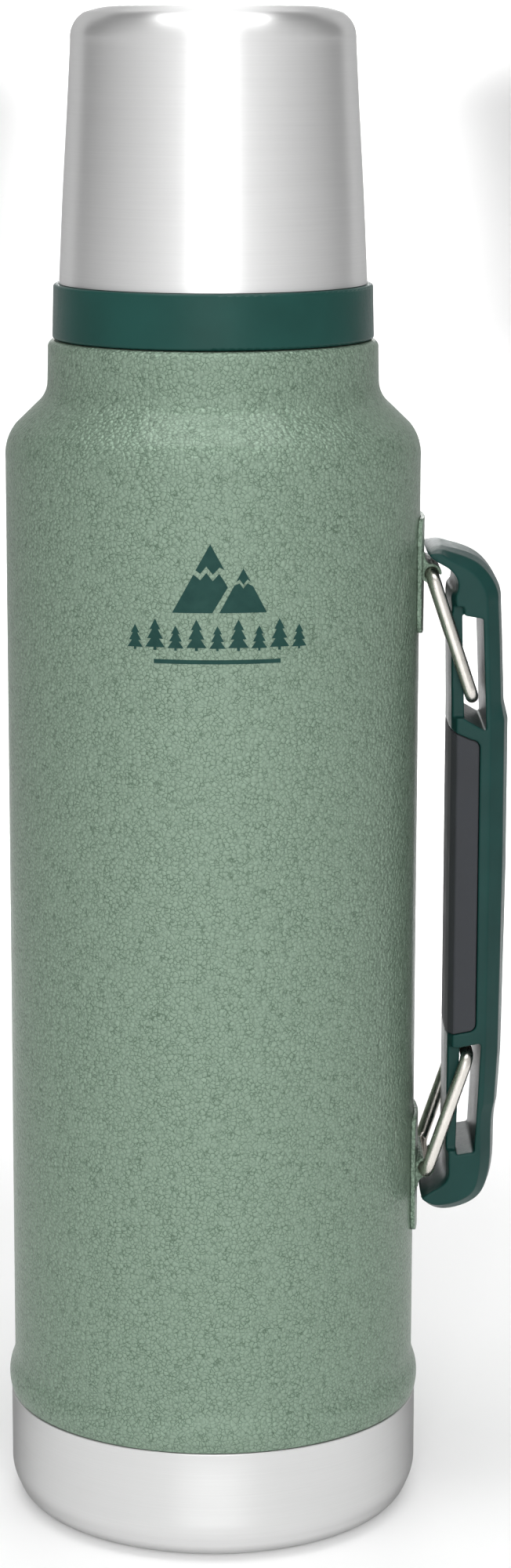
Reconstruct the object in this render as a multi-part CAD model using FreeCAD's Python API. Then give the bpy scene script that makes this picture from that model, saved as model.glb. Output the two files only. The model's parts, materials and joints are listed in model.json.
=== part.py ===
import FreeCAD, Part
import math
import os

# Vacuum flask, 1.4 litre class. Millimetres. Origin on the flask axis in the base plane.
# +Z up the flask, +X from the axis through the carrying handle.

# ---------------------------------------------------------------- driving dimensions
BASE_R = 51.3            # steel base cap radius
SEAM_Z = 28.5            # top edge of the base cap
BEAD_R = 51.8            # rolled bead just above the seam
WALL_R = 50.4            # painted body radius
SKIN = 0.8               # outer shell wall
NECK_LEDGE_Z = 293.4     # painted shoulder's top, where the cup's ring sits
MOUTH_Z = 311.5          # top of the steel mouth
NECK_OUT_R = 31.4        # threaded neck, root radius
NECK_IN_R = 30.6         # threaded neck, inside radius
NECK_CREST_R = 32.4      # threaded neck, crest radius
VESSEL_R = 44.6          # inner vessel outside radius
VESSEL_WALL = 0.6
THROAT_R = 27.2          # inner vessel throat radius, inside
VESSEL_FLOOR_Z = 20.0    # inside floor of the vessel
CUP_RING_R = 38.8        # green ring of the cup, at its lower edge
CUP_RING_TOP_Z = 306.8
CUP_R = 37.1             # steel cup radius at its rim
FLASK_H = 372.0
CUP_WALL = 0.7

STOP_R = 24.4            # stopper plug radius under its thread
STOP_FLANGE_R = 31.0
STOP_BOTTOM_Z = 275.5
STOP_TOP_Z = 330.0

HANDLE_MID_Z = 161.5     # middle height of the handle
HANDLE_HALF_W = 14.0     # half width of the handle
RAIL_HALF_W = 11.7       # half width of the sunk rails where the bails lie
GRIP_HALF_L = 38.0       # half length of the soft grip
GRIP_OUT_X = 64.9        # how far the grip wraps round the sides

WIRE_R = 1.6             # bail wire radius
LEG_Y = 13.8             # bail leg centre line
PIVOT_X = 52.9
UP_PIVOT_Z = 237.4
LOW_PIVOT_Z = 87.6
BAR_X = 62.9             # bail crossbars in the windows, at rest
UP_BAR_Z = 207.6
LOW_BAR_Z = 117.4
PLATE_X = 51.5           # outer face of the bracket plates
PLATE_HALF_W = 10.6
TONGUE_HALF_W = 9.6
TONGUE_T = 0.8

V = FreeCAD.Vector


# ---------------------------------------------------------------- helpers
def outline(steps):
    # steps in the XZ plane: (x, z) draws a line, (x, z, mx, mz) an arc through (mx, mz),
    # ("curve", [points]) a smooth curve through the points
    edges = []
    here = V(steps[0][0], 0, steps[0][1])
    first = here
    for step in steps[1:]:
        if step[0] == "curve":
            points = [here] + [V(x, 0, z) for x, z in step[1]]
            curve = Part.BSplineCurve()
            curve.interpolate(points)
            edges.append(curve.toShape())
            here = points[-1]
            continue
        end = V(step[0], 0, step[1])
        if len(step) == 4:
            edges.append(Part.Arc(here, V(step[2], 0, step[3]), end).toShape())
        else:
            edges.append(Part.LineSegment(here, end).toShape())
        here = end
    if here.distanceToPoint(first) > 1e-6:
        edges.append(Part.LineSegment(here, first).toShape())
    return Part.Face(Part.Wire(edges))


def turned(steps):
    return outline(steps).revolve(V(0, 0, 0), V(0, 0, 1), 360)


def slab(steps, half_width):
    face = outline(steps)
    face.translate(V(0, -half_width, 0))
    return face.extrude(V(0, 2 * half_width, 0))


def tube(r_out, r_in, z0, z1):
    outer = Part.makeCylinder(r_out, z1 - z0, V(0, 0, z0))
    return outer.cut(Part.makeCylinder(r_in, z1 - z0, V(0, 0, z0)))


def box(x0, x1, y0, y1, z0, z1):
    return Part.makeBox(x1 - x0, y1 - y0, z1 - z0, V(x0, y0, z0))


def thread(root_r, crest_r, z0, z1, pitch, outward):
    # one-start ridge with a trapezoid section, sunk 0.3 mm into its wall
    step = 1 if outward else -1
    deep = root_r - step * 0.3
    base = pitch * 0.36
    tip = pitch * 0.14
    helix = Part.makeHelix(pitch, z1 - z0, root_r)
    helix.translate(V(0, 0, z0))
    section = Part.makePolygon([
        V(deep, 0, z0 - base),
        V(crest_r, 0, z0 - tip),
        V(crest_r, 0, z0 + tip),
        V(deep, 0, z0 + base),
        V(deep, 0, z0 - base),
    ])
    return Part.Wire(helix.Edges).makePipeShell([section], True, True)


def rounded(shape, radius, chosen):
    edges = [e for e in shape.Edges if chosen(e)]
    return shape.makeFillet(radius, edges)


parts = {}

# ---------------------------------------------------------------- flask body
# painted outer shell: bead, straight wall, shoulder, neck and top ledge
shell_outer = [
    (51.2, SEAM_Z),
    (51.0, 35.9, BEAD_R, 31.9),
    (WALL_R, 39.2, 50.58, 37.4),
    (WALL_R, 264.6),
    (47.9, 272.9, 49.75, 269.6),
    (41.9, 278.7),
    (40.1, 283.4, 40.5, 281.1),
    (39.9, 291.2),
    (38.2, NECK_LEDGE_Z, 39.35, 292.9),
    (NECK_OUT_R + 0.05, NECK_LEDGE_Z),
]
shell_inner = [
    (NECK_OUT_R + 0.05, NECK_LEDGE_Z - SKIN),
    (37.9, NECK_LEDGE_Z - SKIN),
    (39.1, 291.0, 38.75, 292.2),
    (39.3, 283.2),
    (41.35, 278.1, 39.75, 280.8),
    (47.3, 272.3),
    (WALL_R - SKIN, 264.4, 49.0, 269.2),
    (WALL_R - SKIN, 22.0),
    (50.2, 22.0),
    (50.2, SEAM_Z),
]
parts["outer_shell"] = turned(shell_outer + shell_inner)

# steel neck tube with the outside thread for the cup
neck = turned([
    (NECK_OUT_R, 284.0),
    (NECK_OUT_R, MOUTH_Z - 0.9),
    (30.6, MOUTH_Z, 31.15, MOUTH_Z - 0.25),
    (28.6, MOUTH_Z),
    (28.6, MOUTH_Z - 0.8),
    (NECK_IN_R, MOUTH_Z - 1.4, 30.1, MOUTH_Z - 0.9),
    (NECK_IN_R, 284.0),
])
neck_ridge = thread(NECK_OUT_R, NECK_CREST_R, 297.2, 308.2, 4.0, True)
parts["threaded_neck"] = neck.fuse(neck_ridge).removeSplitter()

# inner steel vessel, throat with an inside thread for the stopper
VR = VESSEL_R
VW = VESSEL_WALL
vessel = turned([
    (0, VESSEL_FLOOR_Z - VW),
    (34.0, VESSEL_FLOOR_Z - VW),
    (VR, 30.0, 41.6, VESSEL_FLOOR_Z + 2.6),
    (VR, 258.0),
    (41.4, 266.6, 43.75, 262.8),
    (30.6, 276.4),
    (THROAT_R + VW, 283.4, 28.6, 279.4),
    (THROAT_R + VW, MOUTH_Z - 1.0),
    (28.55, MOUTH_Z - 0.2, THROAT_R + VW + 0.2, MOUTH_Z - 0.45),
    (28.55, MOUTH_Z + 0.35),
    (27.8, MOUTH_Z + 0.35),
    (THROAT_R, MOUTH_Z - 0.5, 27.3, MOUTH_Z + 0.1),
    (THROAT_R, 283.2),
    (30.2, 275.9, 28.1, 279.1),
    (40.9, 266.2),
    (VR - VW, 258.0, 43.2, 262.5),
    (VR - VW, 30.2),
    (33.8, VESSEL_FLOOR_Z, 41.0, VESSEL_FLOOR_Z + 3.0),
    (0, VESSEL_FLOOR_Z),
])
throat_ridge = thread(THROAT_R, THROAT_R - 1.1, 288.0, 306.0, 4.5, False)
parts["inner_vessel"] = vessel.fuse(throat_ridge).removeSplitter()

# pressed steel plate that closes the vacuum space, with its sealed well
parts["vacuum_bottom_plate"] = turned([
    (3.2, 8.2),
    (9.0, 8.2),
    (12.0, 9.6),
    (40.0, 9.6),
    (47.6, 16.5, 45.6, 11.6),
    (47.9, 24.0),
    (49.5, 24.6),
    (49.5, 27.3),
    (48.9, 27.3),
    (48.9, 25.0),
    (47.2, 24.4),
    (47.0, 16.7),
    (39.8, 10.3, 45.1, 12.2),
    (11.7, 10.3),
    (8.7, 8.9),
    (3.2, 8.9),
])
parts["vacuum_seal_plug"] = turned([
    (0, 7.0),
    (5.0, 7.0),
    (5.6, 7.6, 5.45, 7.15),
    (5.6, 8.2),
    (3.15, 8.2),
    (3.15, 9.6),
    (0, 9.6),
])
getter = Part.makeCylinder(5.5, 2.6, V(22, 0, 10.3))
parts["getter_capsule"] = rounded(getter, 0.6, lambda e: abs(e.CenterOfMass.z - 12.9) < 0.01)
spacer = tube(16.0, 14.8, 10.3, VESSEL_FLOOR_Z - VW)
for i in range(3):
    notch = box(-20, 20, -3.5, 3.5, 12.5, 17.0)
    notch.rotate(V(0, 0, 0), V(0, 0, 1), 60 * i + 30)
    spacer = spacer.cut(notch)
parts["vessel_support_spring"] = spacer

# brushed steel base cap with a pressed stiffening groove on its underside
parts["base_cap"] = turned([
    (0, 0.0),
    (29.5, 0.0),
    (31.6, 1.3, 30.9, 0.35),
    (34.6, 2.0, 33.0, 1.9),
    (37.6, 1.3, 36.2, 1.9),
    (39.7, 0.0, 38.3, 0.35),
    (43.0, 0.0),
    (50.0, 4.9, 47.6, 1.35),
    (BASE_R, 10.5, 51.05, 7.6),
    (BASE_R, SEAM_Z - 0.7),
    (BASE_R - 0.35, SEAM_Z - 0.2, BASE_R - 0.1, SEAM_Z - 0.3),
    (50.45, SEAM_Z - 0.2),
    (50.45, 10.6),
    (49.25, 5.3, 50.25, 7.9),
    (43.0, 0.8, 47.0, 1.95),
    (40.0, 0.8),
    (38.1, 2.1, 38.9, 1.2),
    (34.6, 2.8, 36.4, 2.7),
    (31.1, 2.1, 32.8, 2.7),
    (29.2, 0.8, 30.3, 1.2),
    (0, 0.8),
])


# ---------------------------------------------------------------- handle brackets
def bracket(pivot_z, z0, z1, way):
    # plate bent to the wall, with a tongue curled round the bail's pivot bar;
    # way is +1 when the tongue closes over the bar's top and -1 when it closes below
    height = z1 - z0
    blank = box(44.0, 56.0, -PLATE_HALF_W, PLATE_HALF_W, z0, z1)
    blank = rounded(blank, 3.0, lambda e: abs(e.Length - 12.0) < 0.01)
    plate = blank.common(tube(PLATE_X, WALL_R + 0.02, z0 - 1, z1 + 1))
    ring_in = WIRE_R + 0.06
    ring_out = ring_in + TONGUE_T
    start = V(PIVOT_X, -TONGUE_HALF_W, pivot_z)
    ring = Part.makeCylinder(ring_out, 2 * TONGUE_HALF_W, start, V(0, 1, 0))
    mouth = slab([
        (PIVOT_X, pivot_z),
        (PIVOT_X + 6, pivot_z - way * 0.6),
        (PIVOT_X + 6, pivot_z - way * 7),
        (PIVOT_X - 0.6, pivot_z - way * 7),
    ], TONGUE_HALF_W + 1)
    root = slab([
        (48.0, pivot_z + way * 5.0),
        (PLATE_X - 0.2, pivot_z + way * 5.0),
        (PIVOT_X - 0.3, pivot_z + way * (ring_out - 0.03),
         PLATE_X + 0.2, pivot_z + way * 3.1),
        (PIVOT_X - 0.3, pivot_z + way * 0.5),
        (48.0, pivot_z + way * 0.5),
    ], TONGUE_HALF_W)
    bore = Part.makeCylinder(ring_in, 60, V(PIVOT_X, -30, pivot_z), V(0, 1, 0))
    wall = Part.makeCylinder(WALL_R + 0.02, height + 10, V(0, 0, z0 - 5))
    shape = plate.fuse([root, ring.cut(mouth)]).cut(bore).cut(wall)
    return max(shape.Solids, key=lambda s: s.Volume)


parts["upper_bracket"] = bracket(UP_PIVOT_Z, 222.6, 250.6, 1)
parts["lower_bracket"] = bracket(LOW_PIVOT_Z, 71.0, 100.6, -1)


# ---------------------------------------------------------------- bails
def bail(pivot_z, bar_z):
    # closed loop of round wire with four bent corners
    corners = [
        V(PIVOT_X, -LEG_Y, pivot_z),
        V(BAR_X, -LEG_Y, bar_z),
        V(BAR_X, LEG_Y, bar_z),
        V(PIVOT_X, LEG_Y, pivot_z),
    ]
    bend = 3.0
    arcs = []
    for i in range(4):
        here = corners[i]
        back = (corners[i - 1] - here).normalize()
        ahead = (corners[(i + 1) % 4] - here).normalize()
        middle = here + (back + ahead) * (bend * (1 - math.sqrt(0.5)))
        arcs.append((here + back * bend, middle, here + ahead * bend))
    path = []
    for i in range(4):
        after = arcs[(i + 1) % 4]
        path.append(Part.LineSegment(arcs[i][2], after[0]).toShape())
        path.append(Part.Arc(after[0], after[1], after[2]).toShape())
    start = arcs[0][2]
    along = (arcs[1][0] - start).normalize()
    section = Part.Wire([Part.Circle(start, along, WIRE_R).toShape()])
    return Part.Wire(path).makePipeShell([section], True, False)


parts["upper_bail"] = bail(UP_PIVOT_Z, UP_BAR_Z)
parts["lower_bail"] = bail(LOW_PIVOT_Z, LOW_BAR_Z)


# ---------------------------------------------------------------- handle
# side view of the handle: (x, z, how far the point draws in at the handle's side faces);
# None starts the next edge, so each edge is one line or one smooth curve
OUTER_SIDE = [
    [(51.8, 242.4, 0.2, 0.2), (52.9, 243.3, 0.4, -0.4), (55.4, 244.0, 0.2, -1.6)],
    [(60.6, 242.8, -0.9, -2.9), (64.8, 240.8, -2.0, -2.8), (67.8, 237.7, -3.1, -2.0),
     (69.7, 234.2, -3.8, -0.9), (70.2, 230.5, -4.0, 0.0)],
    [(70.6, 222.0, -4.0, 0.0)],
    [(71.2, 206.0, -4.0, 0.0)],
    [(72.3, 201.5, -4.9, 0.0)],
    [(72.4, 165.0, -5.0, 0.0)],
    [(71.8, 118.0, -4.6, 0.0)],
    [(71.0, 105.0, -4.2, 0.0)],
    [(70.2, 93.0, -4.0, 0.2), (69.3, 85.2, -3.5, 1.4), (67.0, 80.4, -2.5, 2.4),
     (63.0, 77.8, -1.2, 2.9), (58.0, 76.7, -0.3, 2.8)],
    [(54.8, 77.5, 0.2, 1.9), (51.8, 80.6, 0.2, 0.2)],
]
INNER_SIDE = [
    [(53.6, 82.0, 0.0, 0.2), (56.2, 83.8, 0.2, 0.0), (57.8, 88.6, 0.9, 0.0)],
    [(57.6, 94.0, 1.0, 0.0)],
    [(57.5, 118.0, 1.7, 0.0)],
    [(57.5, 205.0, 1.7, 0.0)],
    [(57.1, 228.0, 1.6, 0.0)],
    [(57.1, 231.4, 1.6, 0.0), (57.5, 232.9, 1.2, 0.0), (58.3, 233.4, 0.6, 0.0)],
    [(58.3, 236.4, 0.6, 0.2), (56.9, 238.8, 0.2, 0.2), (54.6, 240.2, 0.0, 0.3),
     (51.8, 242.4, 0.2, 0.2)],
]


def handle_wire(y, inset):
    runs = OUTER_SIDE + INNER_SIDE
    first = runs[0][0]
    here = V(first[0] + inset * first[2], y, first[1] + inset * first[3])
    edges = []
    for number, run in enumerate(runs):
        points = [V(x + inset * dx, y, z + inset * dz) for x, z, dx, dz in run]
        if number > 0:
            points.insert(0, here)
        if len(points) == 2:
            edges.append(Part.LineSegment(points[0], points[1]).toShape())
        else:
            curve = Part.BSplineCurve()
            curve.interpolate(points)
            edges.append(curve.toShape())
        here = points[-1]
    return Part.Wire(edges)


def handle_blank():
    sections = [(-HANDLE_HALF_W, 1.0), (-10.9, 0.28), (-6.0, 0.04),
                (6.0, 0.04), (10.9, 0.28), (HANDLE_HALF_W, 1.0)]
    wires = [handle_wire(y, inset) for y, inset in sections]
    pieces = []
    for a, b in zip(wires[:-1], wires[1:]):
        pieces.append(Part.makeLoft([a, b], True, True))
    return pieces[0].fuse(pieces[1:]).removeSplitter()


def grip_room(gap):
    # side outline of the space the grip fills, with a rounded outer corner at each end
    low = HANDLE_MID_Z - GRIP_HALF_L + gap
    high = HANDLE_MID_Z + GRIP_HALF_L - gap
    out = GRIP_OUT_X - gap
    r = 2.0
    c = r * (1 - math.sqrt(0.5))
    return slab([
        (45.0, low - 3.0),
        (57.5, low - 0.8),
        (out - r, low + 0.3),
        (out, low + 0.3 + r, out - c, low + 0.3 + c),
        (out, high - 2.2 - r),
        (out - r, high - 2.2, out - c, high - 2.2 - c),
        (57.5, high + 0.1),
        (45.0, high + 3.0),
    ], 20)


def handle_windows():
    # side outlines of the two windows: their corners in X and Z
    upper = slab([(61.1, 202.4), (66.4, 199.3), (65.3, 227.0), (60.3, 227.9)], 20)
    lower = slab([(60.3, 92.2), (64.9, 92.9), (66.2, 120.9), (61.1, 119.9)], 20)
    return upper.fuse(lower)


blank = handle_blank().cut(handle_windows())
for z0, z1, x0, x1 in ((202.6, 230.0, 61.6, 60.6), (93.2, 119.8, 60.6, 61.6)):
    for y0 in (-20.0, RAIL_HALF_W):
        recess = slab([(50.0, z0), (x0, z0), (x1, z1), (50.0, z1)], (20.0 - RAIL_HALF_W) / 2)
        recess.translate(V(0, y0 + (20.0 - RAIL_HALF_W) / 2, 0))
        blank = blank.cut(recess)

core = box(60.2, 70.0, -10.8, 10.8, 110.0, 215.0)
parts["handle_grip"] = blank.common(grip_room(0.15)).cut(core)
parts["handle_frame"] = blank.cut(grip_room(0.0).cut(core))

# ---------------------------------------------------------------- drinking cup
parts["cup_shell"] = turned([
    (CUP_R, CUP_RING_TOP_Z),
    ("curve", [(36.0, 329.4), (34.9, 347.8), (34.05, 364.0)]),
    (30.9, 370.5, 33.25, 368.0),
    (23.0, FLASK_H, 27.2, 371.6),
    (0, FLASK_H),
    (0, FLASK_H - CUP_WALL),
    (23.0, FLASK_H - CUP_WALL),
    (30.4, 369.95, 27.0, 370.93),
    (33.35, 363.9, 32.6, 367.6),
    ("curve", [(34.2, 347.7), (35.3, 329.3), (36.4, CUP_RING_TOP_Z)]),
])
liner = turned([
    (34.6, NECK_LEDGE_Z + 0.25),
    (38.1, NECK_LEDGE_Z + 0.25),
    (CUP_RING_R, NECK_LEDGE_Z + 1.0, 38.6, NECK_LEDGE_Z + 0.45),
    (38.5, CUP_RING_TOP_Z - 0.9),
    (37.8, CUP_RING_TOP_Z - 0.15, 38.3, CUP_RING_TOP_Z - 0.35),
    (36.1, CUP_RING_TOP_Z - 0.15),
    ("curve", [(35.0, 329.3), (33.9, 347.7), (33.05, 363.8)]),
    (30.1, 369.7, 32.3, 367.4),
    (23.0, 371.0, 26.9, 370.65),
    (0, 371.0),
    (0, 369.5),
    (24.0, 369.5),
    (31.5, 363.6, 30.0, 367.6),
    ("curve", [(32.4, 347.6), (33.5, 329.2), (34.4, 312.6)]),
    (33.8, 311.4),
    (33.8, NECK_LEDGE_Z + 2.6),
    (34.6, NECK_LEDGE_Z + 1.6),
])
liner_ridge = thread(33.8, 32.75, 298.6, 308.2, 4.0, False)
parts["cup_liner"] = liner.fuse(liner_ridge).removeSplitter()

# ---------------------------------------------------------------- stopper
stopper = turned([
    (0, STOP_BOTTOM_Z),
    (21.4, STOP_BOTTOM_Z),
    (STOP_R, STOP_BOTTOM_Z + 3.0, 23.5, STOP_BOTTOM_Z + 0.9),
    (STOP_R, 313.1),
    (30.2, 313.1),
    (STOP_FLANGE_R, 313.9, 30.75, 313.35),
    (STOP_FLANGE_R, 316.0),
    (30.0, 317.0, 30.7, 316.7),
    (22.0, 317.0),
    (22.0, 280.0),
    (20.0, 278.0, 21.4, 278.6),
    (0, 278.0),
])
stopper_ridge = thread(STOP_R, STOP_R + 1.35, 287.0, 306.0, 4.5, True)
parts["stopper_body"] = stopper.fuse(stopper_ridge).removeSplitter()
parts["stopper_insulation"] = turned([
    (0, 278.1),
    (19.9, 278.1),
    (21.8, 280.0, 21.25, 278.75),
    (21.8, 315.0),
    (0, 315.0),
])
parts["stopper_gasket"] = turned([
    (24.6, 311.95),
    (29.6, 311.95),
    (29.6, 313.1),
    (24.6, 313.1),
])
cap = turned([
    (0, 315.2),
    (21.9, 315.2),
    (21.9, 317.0),
    (27.4, 317.0),
    (28.2, 317.9, 28.0, 317.25),
    (27.2, 327.4),
    (24.2, STOP_TOP_Z, 26.45, 329.3),
    (18.6, STOP_TOP_Z),
    (17.2, STOP_TOP_Z - 0.9, 17.7, STOP_TOP_Z - 0.25),
    (0, STOP_TOP_Z - 0.9),
])
for i in range(16):
    flute = Part.makeCone(2.6, 2.2, 14.0, V(29.8, 0, 318.6))
    flute.rotate(V(0, 0, 0), V(0, 0, 1), 22.5 * i)
    cap = cap.cut(flute)
parts["stopper_cap"] = cap

os.makedirs("parts", exist_ok=True)
for name, shape in parts.items():
    if len(shape.Solids) == 1:
        shape = shape.Solids[0]
    if not shape.isValid():
        print("not valid:", name)
    print(name, len(shape.Solids), round(shape.Volume, 1))
    shape.exportStep("parts/" + name + ".step")
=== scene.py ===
import json
import math

import bmesh
import bpy
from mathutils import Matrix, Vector


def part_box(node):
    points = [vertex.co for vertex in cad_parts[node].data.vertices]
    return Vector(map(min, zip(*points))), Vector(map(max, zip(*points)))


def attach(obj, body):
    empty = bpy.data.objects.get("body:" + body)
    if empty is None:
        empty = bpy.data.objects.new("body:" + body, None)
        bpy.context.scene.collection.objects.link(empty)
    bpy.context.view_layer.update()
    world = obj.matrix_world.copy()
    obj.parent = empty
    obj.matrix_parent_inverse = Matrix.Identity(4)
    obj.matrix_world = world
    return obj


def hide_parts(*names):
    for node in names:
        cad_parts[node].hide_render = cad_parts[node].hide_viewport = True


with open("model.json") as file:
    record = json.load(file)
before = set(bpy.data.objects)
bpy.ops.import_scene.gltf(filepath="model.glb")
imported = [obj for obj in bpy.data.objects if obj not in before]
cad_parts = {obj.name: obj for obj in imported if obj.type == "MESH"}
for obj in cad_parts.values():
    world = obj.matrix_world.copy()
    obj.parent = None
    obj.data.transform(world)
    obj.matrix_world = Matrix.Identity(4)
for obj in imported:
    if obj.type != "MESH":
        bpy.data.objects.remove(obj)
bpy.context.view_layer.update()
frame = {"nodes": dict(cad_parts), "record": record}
MM = 0.001
ROUNDS = 240            # faces round a turned piece
ARC_STEPS = 10          # runs in an outline's arc
CURVE_STEPS = 6         # runs between two points of a curve
CREASE = 38             # degrees above which an edge stays sharp
NO_CREASE = 180


# ---------------------------------------------------------------- shader helpers
class Nodes:
    """Short calls for building one material's node tree."""

    def __init__(self, name):
        self.mat = bpy.data.materials.new(name)
        self.mat.use_nodes = True
        self.tree = self.mat.node_tree
        self.shader = self.tree.nodes["Principled BSDF"]
        self.coords = self.add("ShaderNodeTexCoord").outputs["Object"]

    def add(self, kind, inputs=None, **props):
        node = self.tree.nodes.new(kind)
        for key, value in props.items():
            setattr(node, key, value)
        for key, value in (inputs or {}).items():
            if isinstance(value, bpy.types.NodeSocket):
                self.tree.links.new(value, node.inputs[key])
            else:
                node.inputs[key].default_value = value
        return node

    def set(self, **values):
        for key, value in values.items():
            socket = self.shader.inputs[key.replace("_", " ")]
            if isinstance(value, bpy.types.NodeSocket):
                self.tree.links.new(value, socket)
            else:
                socket.default_value = value

    def math(self, kind, a, b):
        return self.add("ShaderNodeMath", {0: a, 1: b}, operation=kind).outputs[0]

    def scaled(self, sx, sy, sz):
        return self.add("ShaderNodeMapping", {"Vector": self.coords, "Scale": (sx, sy, sz)}).outputs[0]

    def brushed(self, along, across, detail=4.0, rough=0.6):
        """Fine lines that run round the flask's axis: slow along x and y, quick along height and radius."""
        x, y, z = (self.add("ShaderNodeSeparateXYZ", {0: self.coords}).outputs[i] for i in range(3))
        squares = self.math("ADD", self.math("MULTIPLY", x, x), self.math("MULTIPLY", y, y))
        radius = self.math("SQRT", squares, 0.0)
        return self.add("ShaderNodeTexNoise", {
            "Vector": self.scaled(along, along, across), "W": self.math("MULTIPLY", radius, across),
            "Scale": 1.0, "Detail": detail, "Roughness": rough,
        }, noise_dimensions="4D").outputs["Fac"]

    def noise(self, vector, scale, detail=4.0, rough=0.5):
        return self.add("ShaderNodeTexNoise", {
            "Vector": vector, "Scale": scale, "Detail": detail, "Roughness": rough,
        }).outputs["Fac"]

    def cells(self, vector, scale, feature="SMOOTH_F1", smooth=0.6):
        inputs = {"Vector": vector, "Scale": scale}
        if feature == "SMOOTH_F1":
            inputs["Smoothness"] = smooth
        return self.add("ShaderNodeTexVoronoi", inputs, feature=feature).outputs["Distance"]

    def span(self, value, low, high, to_low, to_high):
        return self.add("ShaderNodeMapRange", {
            "Value": value, "From Min": low, "From Max": high, "To Min": to_low, "To Max": to_high,
        }).outputs["Result"]

    def ramp(self, value, stops):
        node = self.add("ShaderNodeValToRGB", {"Fac": value})
        elements = node.color_ramp.elements
        while len(elements) < len(stops):
            elements.new(0.5)
        for element, (place, colour) in zip(elements, stops):
            element.position = place
            element.color = (*colour, 1.0)
        return node.outputs["Color"]

    def blend(self, fac, under, over):
        """The colour under, covered by the fixed colour over as far as the node output fac says."""
        node = self.add("ShaderNodeMix", {"Factor": fac}, data_type="RGBA")
        first, second = [socket for socket in node.inputs if socket.type == "RGBA"]
        self.tree.links.new(under, first)
        second.default_value = (*over, 1.0)
        return next(socket for socket in node.outputs if socket.type == "RGBA")

    def bump(self, height, strength, distance, under=None):
        inputs = {"Height": height, "Strength": strength, "Distance": distance}
        if under is not None:
            inputs["Normal"] = under
        return self.add("ShaderNodeBump", inputs).outputs["Normal"]


def hammered_paint():
    """Enamel that has drawn up into small domes, with shade painted darker into the lines between them."""
    cells_per_metre = 980.0
    n = Nodes("hammered_paint")
    warp = n.add("ShaderNodeTexNoise", {"Vector": n.coords, "Scale": 700.0, "Detail": 2.0}).outputs["Color"]
    shift = n.add("ShaderNodeVectorMath", {0: warp, 1: (0.0013,) * 3}, operation="MULTIPLY").outputs[0]
    bent = n.add("ShaderNodeVectorMath", {0: n.coords, 1: shift}, operation="ADD").outputs[0]
    cell = n.cells(bent, cells_per_metre, "SMOOTH_F1", 0.35)
    # Distance to the cell edges, used only to paint shade into the creases between the domes.
    crease_shade = n.cells(bent, cells_per_metre, "DISTANCE_TO_EDGE")
    cloud = n.noise(n.coords, 60.0, 5.0, 0.6)
    speck = n.noise(n.coords, 1500.0, 3.0, 0.6)
    patch = n.noise(n.coords, 420.0, 3.0, 0.6)
    domes = n.math("MULTIPLY", n.math("SUBTRACT", 1.0, cell), 0.9)
    height = n.math("ADD", domes, n.math("MULTIPLY", speck, 0.3))
    # The darkest stop paints shade into the creases between the domes.
    tone = n.ramp(crease_shade, [(0.0, (0.070, 0.112, 0.078)), (0.12, (0.196, 0.272, 0.208)),
                         (0.5, (0.236, 0.317, 0.248))])
    tone = n.blend(n.span(patch, 0.40, 0.68, 0.0, 0.60), tone, (0.216, 0.294, 0.229))
    tone = n.blend(n.span(cloud, 0.3, 0.75, 0.0, 0.14), tone, (0.176, 0.248, 0.186))
    tone = n.blend(n.span(speck, 0.55, 0.75, 0.0, 0.22), tone, (0.292, 0.380, 0.312))
    n.set(Base_Color=tone, Metallic=0.36, Roughness=n.span(speck, 0.3, 0.7, 0.33, 0.46),
          Coat_Weight=0.22, Coat_Roughness=0.14, Coat_IOR=1.4,
          Specular_IOR_Level=0.4, Specular_Tint=(0.3, 0.3, 0.3, 1),
          Normal=n.bump(height, 0.9, 0.0004))
    return n.mat


def brushed_steel(name, tone, edge):
    """Steel brushed round the axis; edge is how bright it stays where it turns away."""
    rough = 0.38
    n = Nodes(name)
    lines = n.brushed(28.0, 3400.0, 4.0, 0.65)
    bands = n.brushed(9.0, 260.0, 3.0, 0.5)
    marks = n.noise(n.coords, 45.0, 4.0, 0.6)
    dark, light = tone * 0.965, tone * 1.02
    colour = n.ramp(lines, [(0.25, (dark, dark, dark * 0.997)), (0.75, (light, light, light * 0.997))])
    uneven = n.math("ADD", n.span(bands, 0.3, 0.7, -0.01, 0.01), n.span(marks, 0.3, 0.7, -0.01, 0.01))
    rough_map = n.math("ADD", n.span(lines, 0.2, 0.8, rough - 0.02, rough + 0.03), uneven)
    n.set(Base_Color=colour, Metallic=1.0, Roughness=rough_map,
          Anisotropic=0.8, Anisotropic_Rotation=0.25, Specular_Tint=(edge, edge, edge, 1),
          Normal=n.bump(lines, 0.05, 0.00002),
          Tangent=n.add("ShaderNodeTangent", direction_type="RADIAL", axis="Z").outputs[0])
    return n.mat


def moulded_plastic(name, dark, light, rough=0.34, grain=1800.0, grain_depth=0.10):
    n = Nodes(name)
    fine = n.noise(n.coords, grain, 3.0, 0.6)
    flow = n.noise(n.coords, 70.0, 4.0, 0.55)
    scuff = n.noise(n.scaled(1.0, 1.0, 0.25), 500.0, 5.0, 0.7)
    colour = n.ramp(flow, [(0.3, dark), (0.7, light)])
    rough_map = n.math("ADD", n.span(fine, 0.3, 0.7, rough - 0.04, rough + 0.05),
                       n.span(scuff, 0.45, 0.8, -0.02, 0.08))
    n.set(Base_Color=colour, Roughness=rough_map, IOR=1.49, Specular_IOR_Level=0.22,
          Normal=n.bump(fine, grain_depth, 0.00005, n.bump(flow, 0.05, 0.0003)))
    return n.mat


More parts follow.
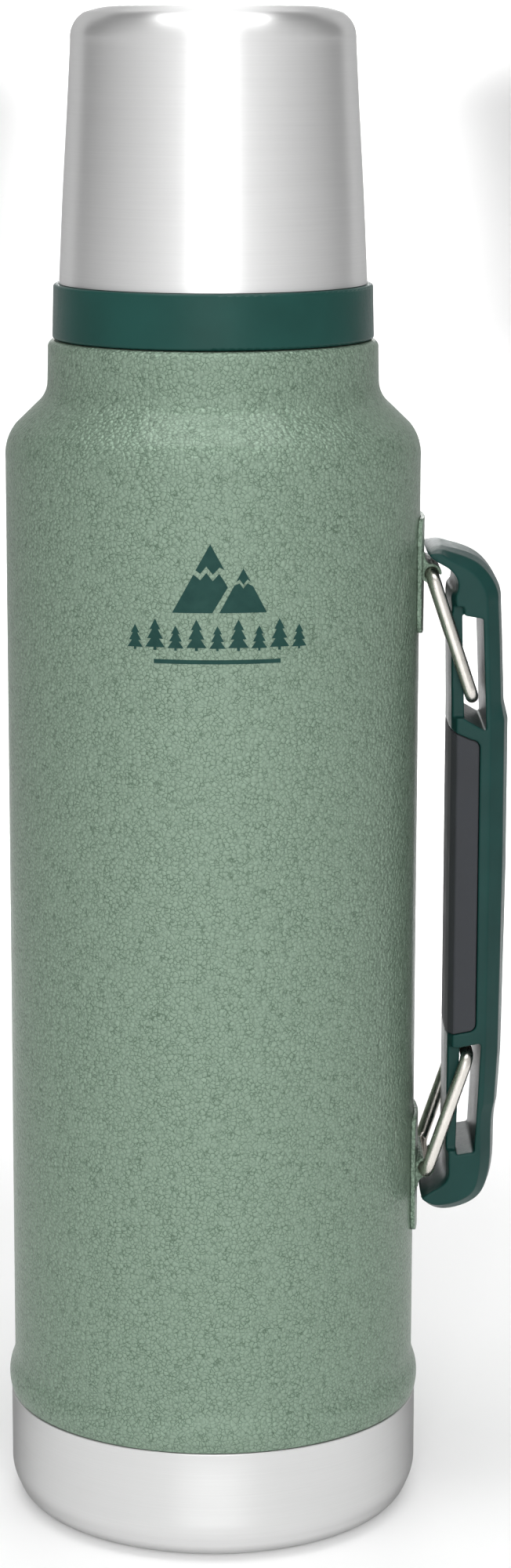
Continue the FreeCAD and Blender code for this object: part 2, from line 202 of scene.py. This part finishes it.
def soft_rubber(name, tone):
    n = Nodes(name)
    pores = n.cells(n.coords, 1500.0, "SMOOTH_F1", 0.3)
    fine = n.noise(n.coords, 2600.0, 3.0, 0.7)
    smear = n.noise(n.coords, 90.0, 4.0, 0.6)
    colour = n.ramp(smear, [(0.3, tone), (0.75, tuple(c * 1.35 for c in tone))])
    n.set(Base_Color=colour, Roughness=n.span(smear, 0.3, 0.7, 0.62, 0.78), IOR=1.5,
          Specular_IOR_Level=0.4, Sheen_Weight=0.04, Sheen_Roughness=0.5,
          Normal=n.bump(pores, 0.25, 0.0001, n.bump(fine, 0.2, 0.00006)))
    return n.mat


def wire_steel():
    n = Nodes("wire_steel")
    drawn = n.noise(n.scaled(1.0, 1.0, 0.12), 1600.0, 4.0, 0.6)
    tint = n.noise(n.coords, 160.0, 3.0, 0.5)
    colour = n.ramp(tint, [(0.3, (0.70, 0.67, 0.62)), (0.7, (0.80, 0.77, 0.72))])
    n.set(Base_Color=colour, Metallic=1.0, Roughness=n.span(drawn, 0.25, 0.75, 0.22, 0.36),
          Specular_Tint=(0.25, 0.24, 0.22, 1),
          Normal=n.bump(drawn, 0.10, 0.00004))
    return n.mat


def plain_steel(name, tone, rough):
    n = Nodes(name)
    grain = n.brushed(60.0, 1100.0)
    colour = n.ramp(grain, [(0.3, (tone * 0.92,) * 3), (0.7, (tone,) * 3)])
    n.set(Base_Color=colour, Metallic=1.0, Roughness=n.span(grain, 0.3, 0.7, rough - 0.04, rough + 0.06),
          Normal=n.bump(grain, 0.08, 0.00004))
    return n.mat


def foam():
    n = Nodes("closed_cell_foam")
    cell = n.cells(n.coords, 1100.0, "SMOOTH_F1", 0.2)
    colour = n.ramp(cell, [(0.0, (0.80, 0.79, 0.74)), (0.8, (0.62, 0.61, 0.56))])
    n.set(Base_Color=colour, Roughness=0.85, Normal=n.bump(cell, 0.4, 0.0003))
    return n.mat


def printed_ink():
    n = Nodes("printed_ink")
    grain = n.noise(n.coords, 1500.0, 3.0, 0.6)
    worn = n.noise(n.coords, 240.0, 4.0, 0.6)
    colour = n.ramp(worn, [(0.3, (0.009, 0.038, 0.033)), (0.75, (0.016, 0.054, 0.046))])
    n.set(Base_Color=colour, Roughness=n.span(grain, 0.3, 0.7, 0.40, 0.52),
          IOR=1.49, Specular_IOR_Level=0.12, Normal=n.bump(grain, 0.5, 0.0001))
    return n.mat


PAINT = hammered_paint()
CUP_STEEL = brushed_steel("cup_steel", 0.91, 0.75)
# A darker copy of the cup's steel: its lower tone and edge value paint shade onto the base cap's sides.
SHADED_BASE_STEEL = brushed_steel("shaded_base_steel", 0.77, 0.28)
GREEN = moulded_plastic("handle_green", (0.0045, 0.032, 0.028), (0.006, 0.041, 0.036))
RING_GREEN = moulded_plastic("ring_green", (0.006, 0.042, 0.035), (0.008, 0.052, 0.044), rough=0.36)
STOPPER_GREEN = moulded_plastic("stopper_green", (0.016, 0.052, 0.044), (0.022, 0.066, 0.056),
                                rough=0.48, grain=1300.0, grain_depth=0.25)
GRIP = soft_rubber("grip_rubber", (0.023, 0.025, 0.029))
SILICONE = soft_rubber("gasket_silicone", (0.34, 0.35, 0.34))
WIRE = wire_steel()
INSIDE_STEEL = plain_steel("vessel_steel", 0.66, 0.30)
PRESSED_STEEL = plain_steel("pressed_steel", 0.60, 0.38)
DULL_METAL = plain_steel("dull_metal", 0.45, 0.5)
FOAM = foam()
INK = printed_ink()


# ---------------------------------------------------------------- mesh helpers
def link(name, mesh, material, body, nodes=()):
    obj = bpy.data.objects.new(name, mesh)
    bpy.context.scene.collection.objects.link(obj)
    mesh.materials.clear()
    mesh.materials.append(material)
    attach(obj, body)
    if nodes:
        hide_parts(*nodes)
    return obj


def smooth(mesh, degrees):
    for polygon in mesh.polygons:
        polygon.use_smooth = True
    mesh.set_sharp_from_angle(angle=math.radians(degrees))


def arc(p0, pm, p1):
    """Points on the circle arc from p0 through pm to p1, without p0."""
    (x0, y0), (x1, y1), (x2, y2) = p0, pm, p1
    d = 2 * (x0 * (y1 - y2) + x1 * (y2 - y0) + x2 * (y0 - y1))
    s0, s1, s2 = x0 * x0 + y0 * y0, x1 * x1 + y1 * y1, x2 * x2 + y2 * y2
    cx = (s0 * (y1 - y2) + s1 * (y2 - y0) + s2 * (y0 - y1)) / d
    cy = (s0 * (x2 - x1) + s1 * (x0 - x2) + s2 * (x1 - x0)) / d
    r = math.hypot(x0 - cx, y0 - cy)
    a0, am, a1 = (math.atan2(y - cy, x - cx) for x, y in (p0, pm, p1))
    turn = (a1 - a0) % (2 * math.pi)
    if (am - a0) % (2 * math.pi) > turn:
        turn -= 2 * math.pi
    angles = [a0 + turn * i / ARC_STEPS for i in range(1, ARC_STEPS + 1)]
    return [(cx + r * math.cos(a), cy + r * math.sin(a)) for a in angles]


def curve(points):
    """A smooth curve through all the points, as a list of short runs."""
    ends = [points[0]] + points + [points[-1]]
    path = [points[0]]
    for p0, p1, p2, p3 in zip(ends, ends[1:], ends[2:], ends[3:]):
        for i in range(1, CURVE_STEPS + 1):
            t = i / CURVE_STEPS
            path.append(tuple(
                0.5 * (2 * b + (c - a) * t + (2 * a - 5 * b + 4 * c - d) * t * t
                       + (3 * b - a - 3 * c + d) * t ** 3)
                for a, b, c, d in zip(p0, p1, p2, p3)))
    return path


def trace(steps):
    """A turned outline in mm: (r, z) is a straight run, (r, z, mr, mz) an arc through (mr, mz)."""
    points = [steps[0][:2]]
    for step in steps[1:]:
        if len(step) == 4:
            points += arc(points[-1], step[2:], step[:2])
        else:
            points.append(step)
    return points


def turned(name, steps, material, body, node, low=0.0, longest=12.0):
    """A closed outline in mm, with heights above low, turned about the flask's axis in even runs."""
    outline = trace(steps)
    points = []
    for a, b in zip(outline, outline[1:] + outline[:1]):
        count = max(1, math.ceil(math.hypot(b[0] - a[0], b[1] - a[1]) / longest))
        points += [(a[0] + (b[0] - a[0]) * i / count, a[1] + (b[1] - a[1]) * i / count) for i in range(count)]
    bm = bmesh.new()
    rings = []
    for r, z in points:
        if r < 1e-6:
            rings.append([bm.verts.new((0, 0, (low + z) * MM))])
            continue
        turns = [2 * math.pi * k / ROUNDS for k in range(ROUNDS)]
        rings.append([bm.verts.new((r * MM * math.cos(a), r * MM * math.sin(a), (low + z) * MM))
                      for a in turns])
    for a, b in zip(rings, rings[1:] + rings[:1]):
        if len(a) == 1 and len(b) == 1:
            continue
        for k in range(ROUNDS):
            j = (k + 1) % ROUNDS
            corners = [a[0] if len(a) == 1 else a[k], a[0] if len(a) == 1 else a[j],
                       b[0] if len(b) == 1 else b[j], b[0] if len(b) == 1 else b[k]]
            bm.faces.new(list(dict.fromkeys(corners)))
    bmesh.ops.recalc_face_normals(bm, faces=bm.faces)
    mesh = bpy.data.meshes.new(name)
    bm.to_mesh(mesh)
    bm.free()
    smooth(mesh, CREASE)
    return link(name, mesh, material, body, (node,))


def softened(name, node, material, body, voxel, passes):
    """The CAD node's shape as a fine skin whose edges are rounded as a moulding's or pressing's are."""
    source = frame["nodes"][node]
    mesh = source.data.copy()
    mesh.name = name
    obj = link(name, mesh, material, body, (node,))
    remesh = obj.modifiers.new("skin", "REMESH")
    remesh.mode = "VOXEL"
    remesh.voxel_size = voxel
    relax = obj.modifiers.new("relax", "SMOOTH")
    relax.factor = 0.5
    relax.iterations = passes
    depsgraph = bpy.context.evaluated_depsgraph_get()
    done = bpy.data.meshes.new_from_object(obj.evaluated_get(depsgraph))
    obj.modifiers.clear()
    obj.data = done
    done.name = name
    done.materials.clear()
    done.materials.append(material)
    smooth(done, NO_CREASE)
    return obj


# ---------------------------------------------------------------- flask body
BODY_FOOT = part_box("outer_shell")[0].z / MM
turned("body_shell", [
    (51.2, 6.5), (51.0, 13.9, 51.8, 9.9), (50.4, 17.2, 50.58, 15.4), (50.4, 242.6),
    (47.9, 250.9, 49.75, 247.6), (41.9, 256.7), (40.1, 261.4, 40.5, 259.1), (39.9, 269.2),
    (38.2, 271.4, 39.35, 270.9), (31.45, 271.4), (31.45, 270.6), (37.9, 270.6),
    (39.1, 269.0, 38.75, 270.2), (39.3, 261.2), (41.35, 256.1, 39.75, 258.8), (47.3, 250.3),
    (49.6, 242.4, 49.0, 247.2), (49.6, 0.0), (50.2, 0.0), (50.2, 6.5),
], PAINT, "flask", "outer_shell", low=BODY_FOOT)

turned("base_cap_skin", [
    (0, 0.0), (29.5, 0.0), (31.6, 1.3, 30.9, 0.35), (34.6, 2.0, 33.0, 1.9), (37.6, 1.3, 36.2, 1.9),
    (39.7, 0.0, 38.3, 0.35), (43.0, 0.0), (50.0, 4.9, 47.6, 1.35), (51.3, 10.5, 51.05, 7.6),
    (51.3, 27.8), (50.95, 28.3, 51.2, 28.2), (50.45, 28.3), (50.45, 10.6), (49.25, 5.3, 50.25, 7.9),
    (43.0, 0.8, 47.0, 1.95), (0, 0.8),
], SHADED_BASE_STEEL, "flask", "base_cap", longest=6.0)

# ---------------------------------------------------------------- cup
CUP_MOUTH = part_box("cup_shell")[0].z / MM
CUP_OUTSIDE = curve([(37.1, 0.0), (36.0, 22.6), (34.9, 41.0), (34.05, 57.2)])
CUP_INSIDE = curve([(33.35, 57.1), (34.2, 40.9), (35.3, 22.5), (36.4, 0.0)])
turned("cup_shell_skin", CUP_OUTSIDE + [
    (30.9, 63.7, 33.25, 61.2), (23.0, 65.2, 27.2, 64.8), (0, 65.2), (0, 64.5), (23.0, 64.5),
    (30.4, 63.15, 27.0, 64.13), (33.35, 57.1, 32.6, 60.8),
] + CUP_INSIDE[1:], CUP_STEEL, "cup", "cup_shell", low=CUP_MOUTH, longest=5.0)


def finish_cad(node, material):
    """A CAD node whose shape is right keeps it, and takes the material in its own slots."""
    for slot in frame["nodes"][node].material_slots:
        slot.material = material


for node, material in (
        ("cup_liner", RING_GREEN), ("threaded_neck", INSIDE_STEEL), ("inner_vessel", INSIDE_STEEL),
        ("vacuum_bottom_plate", PRESSED_STEEL), ("vacuum_seal_plug", DULL_METAL),
        ("getter_capsule", DULL_METAL), ("vessel_support_spring", PRESSED_STEEL),
        ("stopper_body", STOPPER_GREEN), ("stopper_cap", STOPPER_GREEN),
        ("stopper_insulation", FOAM), ("stopper_gasket", SILICONE)):
    finish_cad(node, material)

# ---------------------------------------------------------------- handle, brackets
softened("handle_frame_skin", "handle_frame", GREEN, "handle", 0.0003, 3)
softened("handle_grip_skin", "handle_grip", GRIP, "handle", 0.0003, 4)
for level in ("upper", "lower"):
    softened(level + "_bracket_skin", level + "_bracket", PAINT, "flask", 0.00022, 2)


# ---------------------------------------------------------------- bails
def wire_loop(level, rise):
    """A closed loop of round wire with bent corners; its crossbar is rise mm above its hinge."""
    leg_y, bend, radius, reach = 13.8, 3.0, 1.6, 10.0
    sides, bend_steps, run_steps = 32, 8, 6
    hinge = next(j for j in frame["record"]["behaviour"]["joints"] if j["name"] == level + "_bail_swing")
    pivot = (hinge["pos_m"][0] / MM, hinge["pos_m"][2] / MM)
    bar = (pivot[0] + reach, pivot[1] + rise)
    corners = [Vector((pivot[0], -leg_y, pivot[1])), Vector((bar[0], -leg_y, bar[1])),
               Vector((bar[0], leg_y, bar[1])), Vector((pivot[0], leg_y, pivot[1]))]
    path = []
    for i, here in enumerate(corners):
        back = (corners[i - 1] - here).normalized()
        ahead = (corners[(i + 1) % 4] - here).normalized()
        centre = here + (back + ahead) * bend
        for k in range(bend_steps + 1):
            t = math.pi / 2 * k / bend_steps
            path.append(centre - ahead * bend * math.cos(t) - back * bend * math.sin(t))
        following = corners[(i + 1) % 4]
        length = (following - here).length - 2 * bend
        for k in range(1, run_steps):
            path.append(here + ahead * (bend + length * k / run_steps))
    side = (corners[1] - corners[0]).cross(corners[2] - corners[1]).normalized()
    turns = [2 * math.pi * k / sides for k in range(sides)]
    bm = bmesh.new()
    rings = []
    for i, point in enumerate(path):
        along = (path[(i + 1) % len(path)] - path[i - 1]).normalized()
        out = along.cross(side)
        rings.append([bm.verts.new((point + (side * math.cos(a) + out * math.sin(a)) * radius) * MM)
                      for a in turns])
    for i, a in enumerate(rings):
        b = rings[(i + 1) % len(rings)]
        for k in range(sides):
            j = (k + 1) % sides
            bm.faces.new((a[k], a[j], b[j], b[k]))
    bmesh.ops.recalc_face_normals(bm, faces=bm.faces)
    mesh = bpy.data.meshes.new(level + "_bail_wire")
    bm.to_mesh(mesh)
    bm.free()
    smooth(mesh, NO_CREASE)
    link(mesh.name, mesh, WIRE, level + "_wire", (level + "_bail",))


wire_loop("upper", -29.8)
wire_loop("lower", 29.8)


# ---------------------------------------------------------------- printed emblem
def printed(name, shapes, inner, outer):
    """Flat outlines (mm round the front, mm high) wrapped onto the wall as a thin raised print."""
    bm = bmesh.new()
    for shape in shapes:
        bm.faces.new([bm.verts.new((x, z, 0)) for x, z in shape])
    bmesh.ops.triangulate(bm, faces=bm.faces)
    for step in range(-24, 26, 2):     # cuts every 2 mm let the flat print bend round the wall
        bmesh.ops.bisect_plane(bm, geom=bm.verts[:] + bm.edges[:] + bm.faces[:],
                               plane_co=(step, 0, 0), plane_no=(1, 0, 0))
    top = bm.faces[:]
    base = bmesh.ops.duplicate(bm, geom=top + bm.edges[:] + bm.verts[:])
    low = {v for v in base["geom"] if isinstance(v, bmesh.types.BMVert)}
    rims = [edge for edge in dict.fromkeys(e for f in top for e in f.edges) if len(edge.link_faces) == 1]
    for edge in rims:
        a, b = edge.verts
        bm.faces.new((a, b, base["vert_map"][b], base["vert_map"][a]))
    for vert in bm.verts:
        radius = inner if vert in low else outer
        turn = vert.co.x / outer
        vert.co = (radius * math.sin(turn) * MM, -radius * math.cos(turn) * MM, vert.co.y * MM)
    bmesh.ops.recalc_face_normals(bm, faces=bm.faces)
    mesh = bpy.data.meshes.new(name)
    bm.to_mesh(mesh)
    bm.free()
    smooth(mesh, 30)
    link(name, mesh, INK, "flask")


def tree(x, z, k):
    """A fir's outline standing on (x, z), k times its drawn size."""
    half = [(0, 7.4), (1.3, 4.9), (0.7, 4.9), (1.9, 2.7), (1.0, 2.7), (2.4, 0.7), (0.35, 0.7), (0.35, 0)]
    return [(x + k * a, z + k * b) for a, b in half] + [(x - k * a, z + k * b) for a, b in half[:0:-1]]


PEAKS = [
    [(-9.6, 234.2), (-4.6, 243.2), (-3.0, 241.9), (-1.6, 243.6), (-0.1, 241.7), (1.4, 243.4), (2.6, 241.6),
     (3.4, 240.2), (-0.2, 234.2)],
    [(-4.1, 244.2), (-0.7, 250.3), (2.6, 244.3), (1.5, 244.9), (-0.1, 243.2), (-1.6, 245.1), (-3.0, 243.4)],
    [(1.4, 234.2), (4.9, 240.6), (6.15, 241.1), (7.0, 239.9), (8.0, 241.1), (9.3, 240.4), (12.6, 234.2)],
    [(5.3, 241.4), (7.0, 244.6), (8.8, 241.4), (8.0, 242.0), (7.0, 240.8), (6.15, 242.0)],
]
TREES = [tree(-18.6 + 4.9 * i, 225.3, 1.0 if i % 2 else 0.8) for i in range(9)]
GROUND = [[(-14.0, 222.2), (16.0, 222.2), (16.0, 223.2), (-14.0, 223.2)]]
WALL = 50.4
printed("front_emblem", PEAKS + TREES + GROUND, WALL - 0.04, WALL + 0.05)


# ---------------------------------------------------------------- stage, light, camera
def studio_paper():
    tone = 0.93
    n = Nodes("studio_paper")
    grain = n.noise(n.coords, 3.0, 3.0, 0.5)
    colour = n.ramp(grain, [(0.3, (tone * 0.99,) * 3), (0.7, (tone,) * 3)])
    n.set(Base_Color=colour, Roughness=0.9, Specular_IOR_Level=0.1)
    return n.mat


def stage():
    """A paper sweep: flat floor that curves up into a wall far behind the flask."""
    bm = bmesh.new()
    rows = [(-6.0, 0.0), (2.0, 0.0), (3.2, 0.05), (4.2, 0.45), (4.8, 1.2), (5.0, 2.4), (5.0, 6.0)]
    columns = [[bm.verts.new((x, y, z)) for x in (-6, -3, 0, 3, 6)] for y, z in rows]
    for a, b in zip(columns, columns[1:]):
        for k in range(4):
            bm.faces.new((a[k], a[k + 1], b[k + 1], b[k]))
    mesh = bpy.data.meshes.new("studio_floor")
    bm.to_mesh(mesh)
    bm.free()
    for polygon in mesh.polygons:
        polygon.use_smooth = True
    obj = bpy.data.objects.new("studio_floor", mesh)
    bpy.context.scene.collection.objects.link(obj)
    mesh.materials.append(studio_paper())


def softbox(name, place, target, width, height, power, spread=180, mirrored=True):
    """An area lamp hidden from the camera; one that isn't mirrored leaves no reflection in gloss."""
    light = bpy.data.lights.new(name, "AREA")
    light.shape = "RECTANGLE"
    light.size, light.size_y = width, height
    light.energy = power
    light.spread = math.radians(spread)
    obj = bpy.data.objects.new(name, light)
    obj.location = place
    obj.visible_camera = False
    obj.visible_glossy = mirrored
    obj.rotation_euler = (Vector(target) - Vector(place)).to_track_quat("-Z", "Y").to_euler()
    bpy.context.scene.collection.objects.link(obj)


def sky():
    """Surroundings that are bright in front of the flask and dark behind it."""
    world = bpy.data.worlds.new("studio_air")
    bpy.context.scene.world = world
    world.use_nodes = True
    tree = world.node_tree
    back = tree.nodes["Background"]
    coords = tree.nodes.new("ShaderNodeTexCoord").outputs["Generated"]
    parts = tree.nodes.new("ShaderNodeSeparateXYZ")
    tree.links.new(coords, parts.inputs[0])
    span = tree.nodes.new("ShaderNodeMapRange")
    tree.links.new(parts.outputs["Y"], span.inputs["Value"])
    for key, value in (("From Min", -1.0), ("From Max", 0.75), ("To Min", 0.88), ("To Max", 0.04)):
        span.inputs[key].default_value = value
    tree.links.new(span.outputs["Result"], back.inputs["Color"])
    back.inputs["Strength"].default_value = 1.0


stage()
sky()
softbox("front_strip", (0.0, -1.5, 0.55), (0, 0, 0.2), 1.0, 1.9, 5.8)
softbox("front_fill", (0.0, -1.4, 0.6), (0, 0, 0.2), 0.5, 0.5, 8.6, mirrored=False)
softbox("top_box", (0.0, -0.2, 1.7), (0, -0.05, 0.2), 1.4, 0.7, 12.5)
softbox("near_floor_box", (0.0, 0.75, 0.85), (0, 0.15, 0.0), 0.4, 0.3, 0.14, 60)
softbox("lane_box", (0.03, 2.5, 0.75), (0.03, 2.5, 0.0), 0.5, 4.2, 7.0, 34)
softbox("sweep_box", (0.06, 3.2, 1.2), (0.06, 5.0, 0.5), 1.0, 0.5, 14.0, 60)

camera = bpy.data.cameras.new("photo_camera")
camera.lens = 85.77
camera.sensor_width = 36.0
camera.shift_x = 0.027
camera.clip_start = 0.05
view = bpy.data.objects.new("photo_camera", camera)
view.location = (0.0, -0.905, 0.369)
view.rotation_euler = (math.radians(90 - 11.58), 0.0, 0.0)
bpy.context.scene.collection.objects.link(view)
bpy.context.scene.camera = view
bpy.context.scene.view_settings.view_transform = "Standard"
